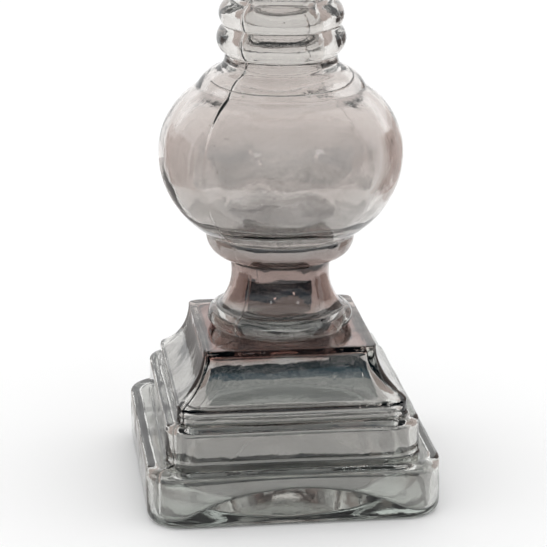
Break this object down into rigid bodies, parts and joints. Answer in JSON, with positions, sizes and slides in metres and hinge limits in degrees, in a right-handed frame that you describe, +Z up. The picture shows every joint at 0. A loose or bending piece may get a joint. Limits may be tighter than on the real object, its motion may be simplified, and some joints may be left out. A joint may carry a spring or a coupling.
{
  "type": "glass candlestick",
  "caption": "Smoky glass candlestick: square stepped foot, waisted stem, round hollow bulb, ringed neck and an urn-shaped cup with a lift-out candle nozzle and drip pan.",
  "frame": {"origin": "centre of the square foot's underside, on the surface it stands on", "axes": "+Z up along the turned stem's axis; the foot's sides are square to X and Y, and the front faces -Y"},
  "size_m": [0.1344, 0.1344, 0.2969],
  "materials": {
    "smoked_glass": "smooth smoky grey blown glass",
    "smoked_glass_lustre": "smoky grey blown glass with a metallic lustre"
  },
  "bodies": {
    "candlestick": {"square_foot": "smoked_glass_lustre", "base_ring": "smoked_glass_lustre", "waist_stem": "smoked_glass_lustre", "collar": "smoked_glass_lustre", "bulb": "smoked_glass", "shoulder": "smoked_glass", "neck_ring": "smoked_glass", "upper_ring": "smoked_glass", "cup_neck": "smoked_glass", "candle_cup": "smoked_glass"},
    "nozzle": {"candle_nozzle": "smoked_glass"}
  },
  "joints": [
    {"name": "nozzle_lift", "type": "slide", "parent": "candlestick", "child": "nozzle", "axis": [0, 0, 1], "range_m": [0, 0.06]}
  ]
}
